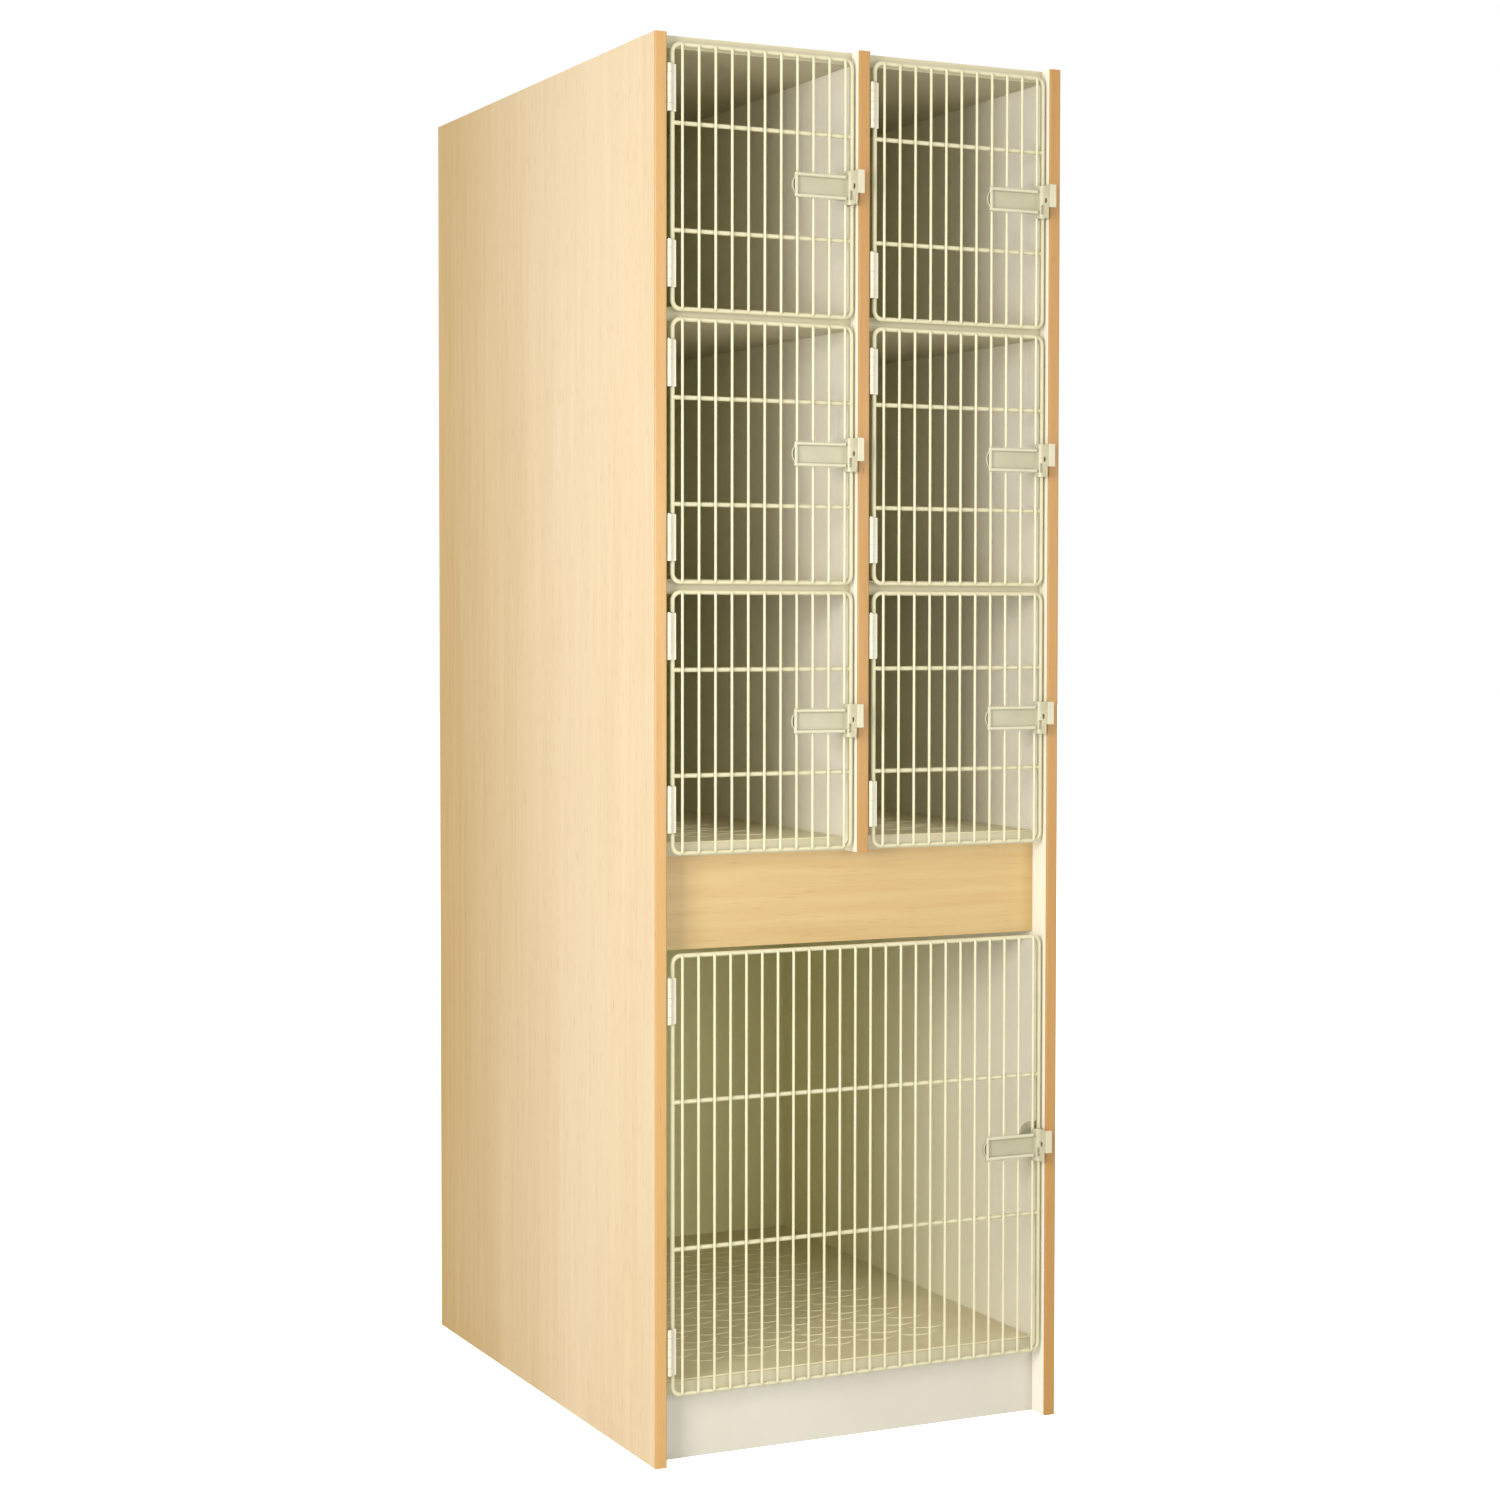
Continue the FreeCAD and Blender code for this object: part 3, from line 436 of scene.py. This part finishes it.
def add_floor():
    """A plain pale floor that meets the backdrop without a line."""
    mesh = bpy.data.meshes.new("floor")
    half = FLOOR_HALF
    corners = [(-half, -half), (half, -half), (half, half), (-half, half)]
    mesh.from_pydata([(x, y, -FLOOR_DROP) for x, y in corners], [], [(0, 1, 2, 3)])
    floor = bpy.data.objects.new("floor", mesh)
    bpy.context.scene.collection.objects.link(floor)
    shader = Shader("floor_paper", 0.8)
    shader.colour(paint("D6D6D6"))
    shader.surface.inputs["Emission Color"].default_value = (1, 1, 1, 1)
    seen = shader.node("LightPath").outputs["Is Camera Ray"]
    shader.feed(shader.surface.inputs["Emission Strength"], seen)
    mesh.materials.append(shader.material)


add_camera()
add_world()
add_floor()
add_area("front", (1.6, -5.6, 1.5), (0.0, 0.2, 1.0), (2.6, 2.2), 78.0, (1.0, 0.98, 0.90))
add_area("key", (-2.8, -2.35, 1.6), (0.0, -0.4, 1.05), (1.1, 1.6), 92.0, (1.0, 0.97, 0.92))
bpy.context.scene.view_settings.view_transform = "Standard"

# ------------------------------------------------------------------ softened board edges


EDGE_ROUND = 0.0004
WELD_GAP = 0.00002


def soften(node):
    """Join a board's split vertices and round its sharp edges."""
    board = NODES[node]
    weld = board.modifiers.new("weld", "WELD")
    weld.merge_threshold = WELD_GAP
    bevel = board.modifiers.new("bevel", "BEVEL")
    bevel.width = EDGE_ROUND
    bevel.segments = 2
    bevel.limit_method = "ANGLE"
    bevel.angle_limit = math.radians(50)
    bevel.harden_normals = True


for name in ("left_side_panel", "right_side_panel", "center_divider", "top_panel", "back_panel",
             "middle_deck", "bottom_deck", "filler_panel", "toe_kick", "upper_shelf_left",
             "upper_shelf_right", "middle_shelf_left", "middle_shelf_right"):
    soften(name)

# ------------------------------------------------------------------ moulded floor mats

MAT_MARGIN = 0.045
FRONT_MARGIN = 0.085
CRESCENT_PITCH = 0.074
ROW_STEP = 0.037
CRESCENT_RADIUS = 0.039
CRESCENT_HALF_ANGLE = math.radians(62)
RIDGE_HALF_WIDTH = 0.0012
RIDGE_HEIGHT = 0.0010
RIDGE_SINK = 0.00002
MAT_DROP = 0.0003
RIM_ROUND = 0.0009
ARC_STEPS = 14


def ridge(mesh, centre, top):
    """One raised crescent: a rounded bead along an arc, tapering into the mat at both ends."""
    profile = ((-1.0, 0.0), (-0.55, 0.75), (0.0, 1.0), (0.55, 0.75), (1.0, 0.0))
    rings = []
    for step in range(ARC_STEPS + 1):
        share = step / ARC_STEPS
        angle = -math.pi / 2 + (2 * share - 1) * CRESCENT_HALF_ANGLE
        swell = math.sin(math.pi * share) ** 0.5
        ring = []
        for across, height in profile:
            radius = CRESCENT_RADIUS + across * RIDGE_HALF_WIDTH * (0.35 + 0.65 * swell)
            ring.append(mesh.verts.new((centre[0] + radius * math.cos(angle),
                                        centre[1] + radius * math.sin(angle),
                                        top + height * RIDGE_HEIGHT * swell - RIDGE_SINK)))
        rings.append(ring)
    for first, second in zip(rings, rings[1:]):
        for index in range(len(profile) - 1):
            face = mesh.faces.new((first[index], second[index], second[index + 1],
                                   first[index + 1]))
            face.smooth = True
            # The ridges take the lighter vinyl: painted highlight.
            face.material_index = 1


def floor_mat(name, low, high, node):
    """A vinyl sheet with a rounded rim and staggered crescents moulded in its top."""
    mesh = bmesh.new()
    top = high.z - MAT_DROP
    outline = ((0.0, low.z), (0.0, top - RIM_ROUND), (RIM_ROUND * 0.3, top - RIM_ROUND * 0.3),
               (RIM_ROUND, top))
    loops = []
    for inset, height in outline:
        loops.append([mesh.verts.new((x, y, height)) for x, y in (
            (low.x + inset, low.y + inset), (high.x - inset, low.y + inset),
            (high.x - inset, high.y - inset), (low.x + inset, high.y - inset))])
    for lower, upper in zip(loops, loops[1:]):
        for index in range(4):
            after = (index + 1) % 4
            mesh.faces.new((lower[index], lower[after], upper[after], upper[index]))
    mesh.faces.new(loops[-1])
    mesh.faces.new(list(reversed(loops[0])))
    row = 0
    y = low.y + FRONT_MARGIN + CRESCENT_RADIUS
    while y < high.y - MAT_MARGIN:
        x = low.x + MAT_MARGIN + CRESCENT_RADIUS * (1 if row % 2 else 2)
        while x < high.x - MAT_MARGIN - CRESCENT_RADIUS:
            ridge(mesh, (x, y), top)
            x += CRESCENT_PITCH
        y += ROW_STEP
        row += 1
    data = bpy.data.meshes.new(name)
    mesh.to_mesh(data)
    mesh.free()
    data.materials.append(MAT)
    data.materials.append(MAT_RIDGE_HIGHLIGHT)
    mat = bpy.data.objects.new(name, data)
    bpy.context.scene.collection.objects.link(mat)
    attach(mat, "cabinet")
    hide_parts(node)


for node in ("bottom_liner", "deck_liner_left", "deck_liner_right"):
    floor_mat(node.replace("liner", "mat"), *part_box(node), node)

liner_low, liner_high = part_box("bottom_liner")
gap = liner_low.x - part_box("bottom_deck")[0].x
row_low, row_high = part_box("shelf_liners")
for level in ("upper", "middle"):
    for side in ("left", "right"):
        shelf_low, shelf_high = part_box("%s_shelf_%s" % (level, side))
        mat_top = shelf_high.z + (liner_high.z - liner_low.z)
        corner_low = Vector((shelf_low.x + gap, row_low.y, shelf_high.z))
        corner_high = Vector((shelf_high.x - gap, row_high.y, mat_top))
        floor_mat("shelf_mat_%s_%s" % (level, side), corner_low, corner_high, "shelf_liners")
